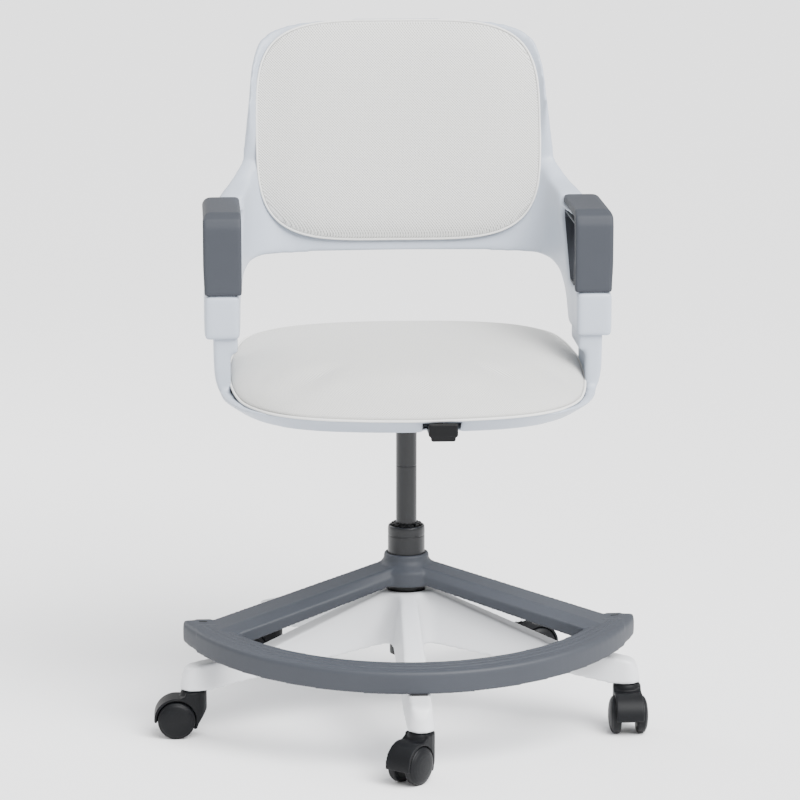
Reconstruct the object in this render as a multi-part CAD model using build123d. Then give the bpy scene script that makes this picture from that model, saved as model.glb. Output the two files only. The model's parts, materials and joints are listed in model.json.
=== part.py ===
from build123d import *
import math
import os

os.makedirs("parts", exist_ok=True)

# A child's height-adjustable study chair with arm loops and a curved footrest.
# Millimetres. +Z is up, the sitter faces -Y, and the origin is on the floor,
# on the axis of the gas lift.

# Star base
leg_count = 5
leg_radius = 305          # lift axis to caster stem
base_hub_dia = 76
base_hub_top = 175
base_hub_bottom = 105
leg_root_width = 58       # at the height of the leg end's underside
leg_end_dia = 37
leg_end_bottom = 64
leg_end_top = 97
leg_crotch = 7            # rounding between neighbouring legs in plan
leg_draft = 8.5           # degrees, each side
base_wall = 5

# Gas lift
tube_dia = 28
outer_tube_dia = 50
outer_tube_bottom = 82
outer_tube_top = 263
outer_tube_wall = 2
cone_drop = 2.6           # how much smaller in radius the seated cone ends
guide_length = 66
rod_dia = 10
rod_neck_dia = 8
piston_height = 10
bearing_dia = 28
bearing_height = 5
rod_collar_dia = 18
clip_dia = 16
clip_thick = 2
tube_bottom = 181
tube_end_cap = 12
tube_wall = 2
lift_up = 15              # travel left above the modelled height; the rest of it is below

# Footrest
footrest_hub_dia = 61
footrest_hub_top = 225
footrest_hub_bottom = 184
rim_radius = 325          # outer edge of the rim
rim_center_back = 45      # the rim's centre lies this far behind the lift
rim_width = 41
rim_thick = 30
rim_height = 155.6        # top face, above the lift axis
rim_slope = 4.65          # degrees down towards the front
rim_half_span = 303
rim_tip_front = 74        # how far the tips lie in front of the lift
rim_inner = rim_radius - rim_center_back - rim_width   # inner edge, ahead of the lift
ridge_count = 3
ridge_pitch = 8.5
ridge_width = 4
ridge_height = 1.4
ridge_end = -86           # the ridges stop this far in front of the lift
rim_round = 6
bar_depth = 19

# Casters
wheel_dia = 50
wheel_width = 16
wheel_gap = 21
caster_trail = 23
hood_width = 37
hood_shell = 4
stem_collar_dia = 35.5
stem_dia = 11
stem_length = 22
axle_dia = 8

# Seat
shell_bottom = 427
shell_wall = 5
shell_flare = 11          # how far the tray's sides swell out to the uprights
tray_draw = 30            # how far the tray draws in at its bottom
tray_depth = 24
seat_half_width = 242
shell_half_width = 259
upright_thick = 33
upright_front = -50
upright_depth = 92
upright_top = 553
upright_waist = 508       # the upright is hollowed for the cushion up to here
seat_front = -214
seat_rear = 172
rim_front = 446           # height of the tray's rim at its front
cushion_edge = 6          # the cushion's outline stands this far inside the shell's
cushion_base = 463.5      # underside of the seat cushion over the lift axis
cushion_slope = 2.3       # degrees, rising to the rear
pan_thick = 4

# Mechanism and height lever
plate_length = 190
plate_width = 120
plate_thick = 3
bolt_dia = 6
bolt_grip = 6
bolt_head_dia = 12
bolt_head_height = 5
bolt_inset = 12
socket_dia = 40
socket_top = 445.5
lever_pivot_y = -70
lever_pivot_z = 446
lever_pin_dia = 6
lever_x = 34
paddle_width = 38
lever_slot = paddle_width / 2 + 3
pan_slot_rear = -96
button_dia = 8
button_top = 449

# Back and arms
back_lean = 14            # degrees
back_bottom = 610
back_top = 924
back_y = 150              # frame's front face at the back's lower edge
frame_wall = 8
wing_thick = 25           # at the corner between back and wing
sleeve_bottom = 527
sleeve_top = 587
arm_top = 697
arm_front = -57
arm_rear = 100
arm_inner = 222
arm_outer = 268
pad_thick = 13
pad_corner = 9            # rounding of the pad's outer top edge
liner_thick = 3
screw_dia = 4
screw_length = 20
screw_head_dia = 7.2
screw_head_height = 3
pan_gap = 1               # between the back frame, its pan and the cushion

# Clearances
running_fit = 0.05        # radial, shafts in bores
seat_fit = 0.1            # pieces that sit in one another without moving
body_gap = 0.5            # between pieces that move past each other

reach = 1200              # longer than anything it cuts


def box(x0, x1, y0, y1, z0, z1):
    """Block between two corners."""
    block = Box(x1 - x0, y1 - y0, z1 - z0, align=Align.MIN)
    return Pos(x0, y0, z0) * block


def rod(radius, z0, z1, x=0, y=0):
    """Upright cylinder between two heights."""
    return Pos(x, y, z0) * Cylinder(radius, z1 - z0, align=(Align.CENTER, Align.CENTER, Align.MIN))


def turned(*profile):
    """Solid turned round the Z axis from (radius, height) points."""
    face = make_face(Plane.XZ * Polyline(*profile, close=True))
    return revolve(face, axis=Axis.Z)


def side_prism(outline, x0, x1):
    """Outline of (y, z) points carried from x0 to x1."""
    face = make_face(Plane.YZ.offset(x0) * outline)
    return extrude(face, amount=x1 - x0, dir=(1, 0, 0))


def front_prism(outline, y0, y1):
    """Outline of (x, z) points carried from y0 to y1."""
    plane = Plane(origin=(0, y0, 0), x_dir=(1, 0, 0), z_dir=(0, -1, 0))
    face = make_face(plane * outline)
    return extrude(face, amount=y1 - y0, dir=(0, 1, 0))


def plan_prism(outline):
    """Plan outline carried up from the floor past everything."""
    return extrude(make_face(outline), amount=reach, dir=(0, 0, 1))


def save(node, shape):
    shape.label = node
    export_step(shape, f"parts/{node}.step")


# ---------------------------------------------------------------- star base

def leg_profile(top_drop, bottom_lift):
    """Turned envelope that gives the legs their falling top and rising root."""
    hub_r = base_hub_dia / 2
    return turned(
        (0, base_hub_bottom + bottom_lift),
        (hub_r, base_hub_bottom + bottom_lift),
        (leg_radius - leg_end_dia / 2, leg_end_bottom + bottom_lift),
        (leg_radius + leg_end_dia / 2 + 1 - top_drop, leg_end_bottom + bottom_lift),
        (leg_radius + leg_end_dia / 2 - 1 - top_drop, leg_end_bottom + 14 + bottom_lift),
        (leg_radius + 9 - top_drop, leg_end_top - 3 - top_drop),
        (leg_radius + 1 - top_drop, leg_end_top - top_drop),
        (rim_inner - 30, leg_end_top + 13 - top_drop),
        (hub_r, base_hub_top - top_drop),
        (0, base_hub_top - top_drop),
    )


def star_plan(inset):
    """Plan of hub and legs, smaller all round by the inset."""
    hub_r = base_hub_dia / 2 + leg_root_width / 4 - inset
    end_r = leg_end_dia / 2 - inset
    root = leg_root_width / 2 - inset
    plan = Circle(hub_r)
    for k in range(leg_count):
        leg = Polygon((0, -root), (leg_radius, -end_r), (leg_radius, end_r), (0, root), align=None)
        plan += Rot(0, 0, -90 + 360 / leg_count * k) * (leg + Pos(leg_radius, 0) * Circle(end_r))
    crotches = [v for v in plan.vertices() if math.hypot(v.X, v.Y) < base_hub_dia]
    return fillet(crotches, leg_crotch - inset * 0.6)


def star_base():
    height = base_hub_top - leg_end_bottom
    outer = Pos(0, 0, leg_end_bottom) * extrude(star_plan(0), amount=height, taper=leg_draft)
    outer = outer & leg_profile(0, 0)
    inner = extrude(star_plan(base_wall), amount=height - base_wall, taper=leg_draft)
    inner = Pos(0, 0, leg_end_bottom - 1) * inner
    inner = inner & leg_profile(base_wall, -1)
    keep = rod(outer_tube_dia / 2 + base_wall, 0, reach)
    for k in range(leg_count):
        turn = Rot(0, 0, -90 + 360 / leg_count * k)
        keep += turn * rod(stem_dia / 2 + base_wall, 0, reach, x=leg_radius)
        for r in (0.3, 0.5, 0.7):
            rib = leg_radius * r
            keep += turn * box(rib - 1.5, rib + 1.5, -leg_root_width, leg_root_width, 0, reach)
    star = outer - (inner - keep)
    star -= lift_cone()
    for k in range(leg_count):
        turn = Rot(0, 0, -90 + 360 / leg_count * k)
        star -= turn * rod(stem_dia / 2 + running_fit, 0, leg_end_bottom + stem_length + 1, x=leg_radius)
    return star


# ------------------------------------------------------------------ gas lift

def lift_cone():
    """Outside of the lift's outer tube: straight above the hub, a cone in it."""
    r = outer_tube_dia / 2
    return turned(
        (0, outer_tube_bottom), (r - cone_drop, outer_tube_bottom), (r, base_hub_top + 2),
        (r, outer_tube_top - 2), (r - 2, outer_tube_top), (0, outer_tube_top),
    )


def lift_outer_tube():
    bore = outer_tube_dia / 2 - cone_drop - outer_tube_wall
    tube = lift_cone()
    tube -= rod(bore, outer_tube_bottom + 4, outer_tube_top + 1)
    return tube - rod(rod_neck_dia / 2 + running_fit, 0, outer_tube_bottom + 5)


def lift_guide_bushing():
    bore = outer_tube_dia / 2 - cone_drop - outer_tube_wall
    bush = rod(bore, outer_tube_top - guide_length, outer_tube_top + 2)
    for k in range(12):
        notch = box(bore - 3.5, bore + 1, -1.5, 1.5, outer_tube_top, outer_tube_top + 3)
        bush -= Rot(0, 0, 30 * k) * notch
    return bush - rod(tube_dia / 2 + running_fit, 0, reach)


def thrust_bearing():
    floor = outer_tube_bottom + 4
    ring = rod(bearing_dia / 2, floor, floor + bearing_height)
    return ring - rod(rod_dia / 2 + body_gap, 0, reach)


def piston_rod():
    seat = outer_tube_bottom + 9 + seat_fit
    piston_low = tube_bottom + lift_up + tube_end_cap + 6
    bore = tube_dia / 2 - tube_wall
    neck = rod(rod_neck_dia / 2, outer_tube_bottom - 4, seat)
    collar = rod(rod_collar_dia / 2, seat, seat + clip_thick)
    piston = rod(bore - running_fit, piston_low, piston_low + piston_height)
    return neck + collar + rod(rod_dia / 2, seat, piston_low) + piston


def rod_clip():
    top = outer_tube_bottom - seat_fit
    ring = rod(clip_dia / 2, top - clip_thick, top) - rod(rod_neck_dia / 2, 0, top + 1)
    return ring - box(0, clip_dia, -2, 2, 0, reach)


def lift_tube():
    taper_from = shell_bottom + 4
    r = tube_dia / 2
    tube = lift_tube_outside()
    tube -= rod(r - tube_wall, tube_bottom + tube_end_cap, taper_from - 10)
    tube -= rod(rod_dia / 2 + running_fit, 0, tube_bottom + tube_end_cap + 1)
    return tube - rod(button_dia / 2 + running_fit, socket_top - 14, reach)


def valve_button():
    return rod(button_dia / 2, socket_top - 8, button_top)


# ------------------------------------------------------------------ footrest

def footrest_bar(side):
    """One arm of the footrest, from the hub down to the rim's tip."""
    hub_x = 20
    tip_x = rim_half_span - 40
    rise = footrest_hub_top - 13
    drop = math.tan(math.radians(rim_slope))

    def rim_z(y):
        return rim_height + y * drop

    def station(x, rear, crease, front, depth):
        points = [rear, crease, front, (front[0], front[1] - depth), (rear[0], rear[1] - depth)]
        return make_face(Plane.YZ.offset(side * x) * Polyline(*points, close=True))

    hub_end = station(hub_x, (7, rise + 4), (-31, rise - 2), (-38, rise - 14), 12)
    tip_end = station(
        tip_x, (-63, rim_z(-63) - 0.2), (-112, rim_z(-112) - 0.2), (-137, rim_z(-137) - 6), bar_depth,
    )
    return loft([hub_end, tip_end])


def rim_ring(outer, inner, z0, z1):
    """Part ring about the rim's own centre."""
    return Pos(0, rim_center_back, 0) * (rod(outer, z0, z1) - rod(inner, z0 - 1, z1 + 1))


def footrest():
    inner = rim_radius - rim_width
    ring = rim_ring(rim_radius, inner, -rim_thick, 0)
    outer_edges = ring.edges().filter_by(GeomType.CIRCLE).sort_by(SortBy.RADIUS)[-2:]
    ring = fillet(outer_edges.sort_by(Axis.Z)[-1], rim_round)
    for k in range(ridge_count):
        r = inner + 5 + ridge_pitch * k
        ridge = rim_ring(r + ridge_width, r, -1, ridge_height)
        ring += ridge & box(-reach, reach, -reach, ridge_end, -2, reach)
    angle = rim_slope
    rim = Pos(0, 0, rim_height) * Rot(angle, 0, 0) * ring
    keep = box(-rim_half_span, rim_half_span, -reach, -rim_tip_front + 15, 0, reach)
    rim = rim & keep
    hub_r = footrest_hub_dia / 2
    flare = 12
    hub = turned(
        (0, footrest_hub_bottom), (hub_r + flare, footrest_hub_bottom), (hub_r + flare, footrest_hub_top - 22),
        (hub_r + 3, footrest_hub_top - 13), (hub_r, footrest_hub_top - 8), (hub_r, footrest_hub_top - 2),
        (hub_r - 2, footrest_hub_top), (0, footrest_hub_top),
    )
    rest = rim + hub + footrest_bar(1) + footrest_bar(-1)
    rest -= leg_profile(-2, -200)
    return rest - rod(outer_tube_dia / 2, 0, reach)


def footrest_block():
    """Rubber block that carries the rim's middle on the front leg."""
    y0 = rim_center_back - rim_radius + 4
    block = box(-10.5, 10.5, y0, y0 + 26, leg_end_bottom + 10, rim_height)
    slab_above = box(-reach, reach, -reach, reach, -rim_thick, 200)
    block -= Pos(0, 0, rim_height) * Rot(rim_slope, 0, 0) * slab_above
    return block - leg_profile(0, -200)


# ------------------------------------------------------------------- casters

def caster_pieces():
    """Hood, stem, axle and two wheels, with the stem on Z and the trail along -Y."""
    r = wheel_dia / 2
    trail = -caster_trail
    collar_r = stem_collar_dia / 2
    top = leg_end_bottom - 1
    fender_r = r + 0.8 + hood_shell
    half = hood_width / 2

    across = Pos(0, trail, r) * Rot(0, 90, 0)
    hood = across * Cylinder(fender_r, hood_width)
    hood -= box(-reach, reach, -reach, trail, 0, r - 3)
    hood -= box(-reach, reach, -reach, reach, 0, r * 0.5)
    stem_side = Polyline((collar_r, top - 1), (collar_r, r + 12), (trail + fender_r * 0.86, r * 0.52),
                         (trail, r), (trail, r + fender_r * 0.9), (-collar_r * 0.6, top - 5),
                         (-collar_r * 0.6, top - 1), close=True)
    hood += side_prism(stem_side, -half, half)
    hood = hood & (rod(collar_r, 0, reach) + box(-half, half, -reach, 0, 0, reach))
    hood += rod(collar_r, r + 18, top - 3) + rod(collar_r - 1, top - 4, top)
    web = wheel_gap / 2 - body_gap
    for side in (-1, 1):
        hood -= Pos(side * (web + wheel_width), 0, 0) * across * Cylinder(r + 0.8, 2 * wheel_width)
    hood += across * Cylinder(axle_dia + 1, 2 * web)
    hood -= across * Cylinder(axle_dia / 2, reach)
    hood -= rod(stem_dia / 2, top - 14, reach)

    stem = rod(stem_dia / 2, top - 14, leg_end_bottom + stem_length - 2)
    stem += rod(stem_dia / 2 - 1.5, leg_end_bottom + stem_length - 2, leg_end_bottom + stem_length)
    axle = across * Cylinder(axle_dia / 2, wheel_gap + 2 * wheel_width - 9)

    inner_x = wheel_gap / 2
    bore = axle_dia / 2 + running_fit
    blind = inner_x + wheel_width - 4.5 + body_gap
    profile = Polyline((0, inner_x), (r - 1.5, inner_x), (r, inner_x + 1.5), (r, inner_x + 7.5),
                       (r - 2.5, inner_x + 11), (r - 7, inner_x + 13.5), (r * 0.45, inner_x + 15.4),
                       (0, inner_x + wheel_width), close=True)
    wheel = revolve(make_face(Plane.XZ * profile), axis=Axis.Z)
    wheel -= rod(bore, 0, blind)
    wheel_right = across * wheel
    wheel_left = mirror(wheel_right, Plane.YZ)
    return {"hood": hood, "stem": stem, "axle": axle, "wheel_left": wheel_left, "wheel_right": wheel_right}


# name of each leg, its direction from +X in degrees, and where its caster trails
casters = {
    "front": (-90, -130),
    "right": (-18, -90),
    "rear_right": (54, 20),
    "rear_left": (126, 160),
    "left": (198, 180),
}


# ---------------------------------------------------------------------- seat

def seat_outline(inset, rear, flare=0):
    """Plan of the seat, as one closed curve, drawn in by the inset and swollen at its sides by the flare."""
    w = seat_half_width - inset
    front = seat_front + inset
    half = [
        (0.46 * w, front + 9), (0.72 * w + flare * 0.2, front + 30), (0.88 * w + flare * 0.45, front + 66),
        (0.965 * w + flare * 0.75, front + 120), (w + flare, front + 190), (0.985 * w + flare, front + 262),
        (0.87 * w + flare * 0.4, rear - 32), (0.6 * w, rear - 8),
    ]
    points = [(0, front)] + half + [(0, rear)] + [(-x, y) for x, y in reversed(half)]
    return Spline(*points, periodic=True)


def shell_section(inset):
    """Front view of the tray and its uprights, smaller all round by the inset."""
    out = shell_half_width - inset
    low = shell_bottom + inset
    curve = Spline((0, low), (150, low + 1), (out - 49, low + 6), (out - 18, low + 17),
                   (out - 5.5, low + 36), (out - 1, low + 80), tangents=((1, 0), (0.02, 1)))
    right = curve + Line((out - 1, low + 80), (out, upright_top)) + Line((out, upright_top), (0, upright_top))
    return right


def half_prism(path, y0, y1):
    plane = Plane(origin=(0, y0, 0), x_dir=(1, 0, 0), z_dir=(0, -1, 0))
    closed = path + Line((0, upright_top), path.edges()[0].position_at(0))
    half = extrude(make_face(plane * closed), amount=y1 - y0, dir=(0, 1, 0))
    return half + mirror(half, Plane.YZ)


def tray_plan(inset, flare=0):
    """Body of the tray's plan: drawn in towards the bottom, upright above."""
    low_outline = seat_outline(tray_draw + inset, seat_rear - tray_draw - inset, flare)
    rim_outline = seat_outline(inset, seat_rear - inset, flare)
    low = Pos(0, 0, shell_bottom) * make_face(low_outline)
    rim = Pos(0, 0, shell_bottom + tray_depth) * make_face(rim_outline)
    above = Pos(0, 0, shell_bottom + tray_depth) * plan_prism(rim_outline)
    return loft([low, rim]) + above


def seat_shell():
    outer = half_prism(shell_section(0), -reach, reach)
    inner = half_prism(shell_section(shell_wall), -reach, reach)
    plan = tray_plan(0, shell_flare)
    hollow = tray_plan(shell_wall) & inner
    tray = (plan & outer & side_prism(rim_side(), -reach, reach)) - hollow
    inner_x = shell_half_width - upright_thick
    column = box(inner_x, reach, upright_front, upright_front + upright_depth, 0, reach)
    upright = (outer & column) - (hollow & box(-reach, reach, -reach, reach, 0, upright_waist))
    shell = tray + upright + mirror(upright, Plane.YZ)
    shell -= rod(tube_dia / 2 + 3, 0, shell_bottom + 20)
    for x, y in bolt_places():
        shell -= rod(bolt_dia / 2 + seat_fit, 0, shell_bottom + 20, x=x, y=y)
    for screw in arm_screws(seat_fit):
        shell -= screw
    slot = box(lever_x - lever_slot, lever_x + lever_slot, seat_front - 20, seat_front + 40, 0, cushion_base)
    return shell - slot


def rim_side():
    """Side view of everything under the tray's rim, which dips towards the front."""
    rear = cushion_base + math.tan(math.radians(cushion_slope)) * reach / 2 - body_gap
    return Polyline(
        (-reach / 2, shell_bottom - 9), (seat_front - 6, rim_front), (seat_front + 24, rim_front + 5),
        (seat_front + 114, cushion_base - 7), (0, cushion_base - 2), (reach / 2, rear),
        (reach / 2, 0), (-reach / 2, 0), close=True,
    )


def slab(z_over_axis, thick_front, thick_rear):
    """Sloping layer under or in the seat, as a side view carried right across."""
    rise = math.tan(math.radians(cushion_slope))
    y0, y1 = -reach / 2, reach / 2
    low0, low1 = z_over_axis + rise * y0, z_over_axis + rise * y1
    return Polyline((y0, low0), (y1, low1), (y1, low1 + thick_rear), (y0, low0 + thick_front), close=True)


def seat_pan():
    """Board under the cushion, slotted at the front where the lever rises."""
    plan = plan_prism(seat_outline(shell_wall + 12, seat_rear - 30))
    pan = plan & side_prism(slab(cushion_base - pan_thick, pan_thick, pan_thick), -reach, reach)
    return pan - box(lever_x - lever_slot, lever_x + lever_slot, seat_front, pan_slot_rear, 0, reach)


def seat_cushion():
    plan = plan_prism(seat_outline(cushion_edge, seat_rear - 10))
    rise = math.tan(math.radians(cushion_slope))
    crown = Spline((seat_front, 476), (-150, 494), (-20, 505), (80, 512), (seat_rear, 506))
    low = [(seat_rear, cushion_base + rise * seat_rear), (seat_front, cushion_base + rise * seat_front)]
    outline = crown + Polyline((seat_rear, 506), *low, (seat_front, 476))
    across = Spline((-seat_half_width, 478), (-190, 499), (0, 513), (190, 499), (seat_half_width, 478))
    w = seat_half_width
    across += Polyline((w, 478), (w, 440), (-w, 440), (-w, 478))
    return plan & side_prism(outline, -reach, reach) & front_prism(across, -reach, reach)


def mechanism_plate():
    z0 = shell_bottom + shell_wall
    half = plate_width / 2
    plate = box(-half, half, -plate_length * 0.55, plate_length * 0.45, z0, z0 + plate_thick)
    plate -= rod(tube_dia / 2 + 1, 0, reach)
    for x in (-22, 12, lever_x + 14):
        ear = box(x, x + 3, lever_pivot_y - 8, lever_pivot_y + 8, z0 + plate_thick - 1, lever_pivot_z + 8)
        plate += ear
    pin = Pos(0, lever_pivot_y, lever_pivot_z) * Rot(0, 90, 0) * Cylinder(lever_pin_dia / 2, reach)
    plate -= pin
    for x, y in bolt_places():
        plate -= rod(bolt_dia / 2 + seat_fit, 0, reach, x=x, y=y)
    return plate


def bolt_places():
    front, rear = -plate_length * 0.55 + bolt_inset, plate_length * 0.45 - bolt_inset
    return [(sx * (plate_width / 2 - bolt_inset), y) for sx in (-1, 1) for y in (front, rear)]


def plate_bolts():
    top = shell_bottom + shell_wall + plate_thick
    group = [
        rod(bolt_dia / 2, top - bolt_grip, top + 0.5, x=x, y=y)
        + rod(bolt_head_dia / 2, top, top + bolt_head_height, x=x, y=y)
        for x, y in bolt_places()
    ]
    return Compound(children=[bolt.solid() for bolt in group])


def taper_socket():
    z0 = shell_bottom + shell_wall + plate_thick
    return rod(socket_dia / 2, z0, socket_top) - lift_tube_outside()


def lift_tube_outside():
    taper_from = shell_bottom + 4
    r = tube_dia / 2
    return turned((0, tube_bottom), (r, tube_bottom), (r, taper_from), (r - 0.5, socket_top), (0, socket_top))


def lever_pivot_pin():
    x0, x1 = -22, lever_x + 17
    pin = Cylinder(lever_pin_dia / 2, x1 - x0)
    return Pos((x0 + x1) / 2, lever_pivot_y, lever_pivot_z) * Rot(0, 90, 0) * pin


def height_lever():
    """Steel lever: barrel on the pin, arm to the paddle, finger over the valve."""
    y, z = lever_pivot_y, lever_pivot_z
    barrel = Pos(lever_x / 2 - 1, y, z) * Rot(0, 90, 0) * Cylinder(5.5, lever_x - 2)
    left = box(-5, 5, y, -24, z - 2.5, z + 2.5)
    lift = button_top + body_gap
    left += box(-5, 5, -31, -24, z - 2.5, lift + 4.5)
    left += box(-5, 5, -31, 6, lift, lift + 4.5)
    tie = Pos(-2, y, z) * Rot(0, 90, 0) * Cylinder(5.5, 8)
    arm = box(lever_x - 4, lever_x + 4, seat_front + 18, y, z - 2.5, z + 2.5)
    root = Pos(lever_x, y, z) * Rot(0, 90, 0) * Cylinder(5.5, 10)
    lever = barrel + left + tie + arm + root
    lever -= box(11, 16, y - 12, y + 12, z - 12, z + 12)
    bridge = box(8, 19, y + 9, y + 13, z - 2.5, z + 2.5)
    bridge += box(4, 9, y, y + 13, z - 2.5, z + 2.5) + box(18, 34, y + 5, y + 13, z - 2.5, z + 2.5)
    lever += bridge
    bore = Pos(0, y, z) * Rot(0, 90, 0) * Cylinder(lever_pin_dia / 2 + running_fit, reach)
    return lever - bore


def lever_paddle():
    """Moulded paddle on the lever's end, under the front lip."""
    x0, x1 = lever_x - paddle_width / 2, lever_x + paddle_width / 2
    z = lever_pivot_z
    y0 = seat_front - 9
    paddle = box(x0, x1, y0, seat_front + 12, z - 17, z - 1)
    paddle += box(lever_x - 8, lever_x + 8, seat_front + 8, seat_front + 30, z - 8, z + 3)
    paddle += box(x0 + 3, x1 - 3, y0 + 1, y0 + 9, z - 23, z - 10)
    paddle = fillet(paddle.edges().filter_by(Axis.Z).sort_by(Axis.Y)[:2], 3)
    arm = box(lever_x - 4, lever_x + 4, seat_front + 18, lever_pivot_y, z - 2.5, z + 2.5)
    return paddle - arm


# ------------------------------------------------------------- back and arms

def back_shift(z):
    """How far back the lean has carried a point by this height."""
    return (z - back_bottom) * math.tan(math.radians(back_lean))


def leaning(face_at_bottom, z0, z1):
    """Plan face, drawn at the back's lower edge, carried up along the lean."""
    run = (z1 - z0) / math.cos(math.radians(back_lean))
    lean = math.radians(back_lean)
    start = Pos(0, back_shift(z0), z0) * face_at_bottom
    return extrude(start, amount=run, dir=(0, math.sin(lean), math.cos(lean)))


def back_curve(offset):
    """Plan of the back's inner face; a positive offset moves it outwards."""
    y = back_y + offset
    return [(0, y), (110, y - 1), (165, y - 5), (194 + offset * 0.8, y - 19)]


def wing_curve(offset):
    return [(210 + offset, back_y - 52), (218 + offset, back_y - 110), (222 + offset, 0), (224 + offset, -90)]


def band(inner_back, outer_back, inner_wing, outer_wing):
    """Plan of the frame: a wide U, open to the front."""
    inside = back_curve(inner_back) + wing_curve(inner_wing)
    outside = back_curve(outer_back)[:-1] + [(206, back_y - 6), (230, back_y - 24)] + [
        (x + grow, y) for (x, y), grow in zip(wing_curve(outer_wing), (13, 13, 14, 21))
    ]
    right = Spline(*inside, tangents=((1, 0), (0, -1)))
    end = Line(inside[-1], outside[-1])
    back = Spline(*reversed(outside), tangents=((0, 1), (-1, 0)))
    middle = Line(outside[0], inside[0])
    half = make_face(right + end + back + middle)
    return half


def frame_front_outline():
    """Front view of the whole frame, right half then left."""
    top = back_top
    half = [
        (60, top), (106, top - 2), (150, top - 7), (175, top - 16), (190, top - 30), (196, top - 46),
        (201, top - 68), (205, top - 112), (210, top - 152), (216, top - 188), (230, top - 210),
        (250, top - 232), (arm_outer + 4, top - 240), (arm_outer + 2, sleeve_bottom),
        (arm_inner, sleeve_bottom),
        (arm_inner - 1, back_bottom - 40), (arm_inner - 6, back_bottom - 16), (arm_inner - 16, back_bottom - 5),
        (arm_inner - 32, back_bottom - 1), (0, back_bottom + 3),
    ]
    return Polyline(*half, *[(-x, z) for x, z in reversed(half[:-1])], close=True)


def arm_side_outline():
    """Side view of the wing: arm, sleeve and the diagonal up to the back."""
    top = arm_top - pad_thick
    return Polyline(
        (arm_front, sleeve_bottom), (arm_front, sleeve_top), (arm_front + pad_thick, sleeve_top),
        (arm_front + pad_thick, top - 12), (arm_front + pad_thick + 12, top), (arm_rear, top),
        (arm_rear, arm_top), (arm_rear + 40, arm_top + 14), (arm_rear + 66, arm_top + 40),
        (arm_rear + 66, reach), (reach, reach), (reach, back_bottom - 12), (arm_rear + 22, back_bottom - 12),
        (arm_rear + 10, back_bottom - 14), (arm_rear - 25, back_bottom - 49),
        (arm_rear - 42, back_bottom - 70), (arm_rear - 53, sleeve_bottom), close=True,
    )


def loop_outline(grow):
    """Side view of the arm loop's opening, larger all round by grow."""
    top = arm_top - pad_thick - 9 + grow
    low = sleeve_top + 8 - grow
    front = arm_front + pad_thick + 14 - grow
    return Polyline(
        (front, low + 6), (front, top), (arm_rear - 14 + grow * 2.4, top),
        (arm_rear - 16 + grow * 2.2, top - 8), (front + 44 + grow, low), (front + 6, low), close=True,
    )


def arm_openings(grow):
    hole = side_prism(loop_outline(grow), arm_inner - 40, arm_outer + 40)
    return hole + mirror(hole, Plane.YZ)


def back_frame():
    half = leaning(band(0, frame_wall, 0, wing_thick), sleeve_bottom - 20, back_top + 20)
    frame = half + mirror(half, Plane.YZ)
    sleeve = box(arm_inner + 1, arm_outer + 2, arm_front, arm_front + 100, sleeve_bottom, sleeve_top)
    frame += sleeve + mirror(sleeve, Plane.YZ)
    frame = frame & front_prism(frame_front_outline(), -reach, reach)
    frame = frame & side_prism(arm_side_outline(), -reach, reach)
    frame -= arm_openings(liner_thick)
    pocket = upright_pocket()
    frame = frame - pocket - mirror(pocket, Plane.YZ)
    for screw in arm_screws(seat_fit):
        frame -= screw
    return frame


def upright_pocket():
    """Socket in the sleeve that takes the seat shell's upright."""
    x0 = shell_half_width - upright_thick
    return box(x0 - seat_fit, shell_half_width + seat_fit, upright_front - seat_fit,
               upright_front + upright_depth + seat_fit, 0, upright_top + seat_fit)


def loop_liner(side):
    ring = side_prism(loop_outline(liner_thick), arm_inner - 1, arm_outer)
    ring -= side_prism(loop_outline(0), arm_inner - 2, arm_outer + 1)
    return ring if side > 0 else mirror(ring, Plane.YZ)


def arm_pad(side):
    """Soft grey cap on the arm's front and top."""
    top = arm_top
    outline = Polyline(
        (arm_front, sleeve_top + seat_fit), (arm_front, top - 20), (arm_front + 5, top - 8),
        (arm_front + 20, top - 1),
        (arm_rear, top), (arm_rear, top - pad_thick), (arm_front + pad_thick + 12, top - pad_thick),
        (arm_front + pad_thick, top - pad_thick - 12), (arm_front + pad_thick, sleeve_top + seat_fit),
        close=True,
    )
    pad = side_prism(outline, arm_inner - 2, arm_outer + 3)
    inner, outer = arm_inner - 2, arm_outer + 3
    front_view = Polyline(
        (inner, sleeve_top), (inner, top - 3), (inner + 3, top), (outer - pad_corner, top),
        (outer - pad_corner * 0.35, top - pad_corner * 0.35), (outer, top - pad_corner),
        (outer, sleeve_top + 40), (outer - 1.5, sleeve_top), close=True,
    )
    pad = pad & front_prism(front_view, -reach, reach)
    return pad if side > 0 else mirror(pad, Plane.YZ)


def arm_screws(grow):
    """Two screws a side that pin the sleeve to the shell's upright, as solids."""
    z = (sleeve_bottom + upright_top) / 2
    y0 = upright_front + upright_depth
    group = []
    for side in (-1, 1):
        x = side * (shell_half_width - upright_thick / 2)
        for shift in (-8, 8):
            shank = Cylinder(screw_dia / 2 + grow, screw_length + 2 * grow)
            head = Cylinder(screw_head_dia / 2 + grow, screw_head_height + 2 * grow)
            shank = Pos(x + shift, y0, z) * Rot(90, 0, 0) * shank
            head = Pos(x + shift, y0 + screw_length / 2 - 1, z) * Rot(90, 0, 0) * head
            group.append((shank + head).solid())
    return group


def cushion_prism(inset):
    """Front view of the back cushion, carried right through the back."""
    top, low = back_top - 3 - inset, back_bottom + 18 + inset
    half = [(171 - inset, top - 8), (193 - inset, top - 152), (178 - inset, low + 7)]
    points = [(0, top)] + half + [(0, low)] + [(-x, z) for x, z in reversed(half)]
    outline = Polygon(*points, align=None)
    corners = [v for v in outline.vertices() if 150 < abs(v.X) < 180]
    outline = fillet(corners, 42)
    plane = Plane(origin=(0, -reach, 0), x_dir=(1, 0, 0), z_dir=(0, -1, 0))
    return extrude(plane * outline, amount=2 * reach, dir=(0, 1, 0))


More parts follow.
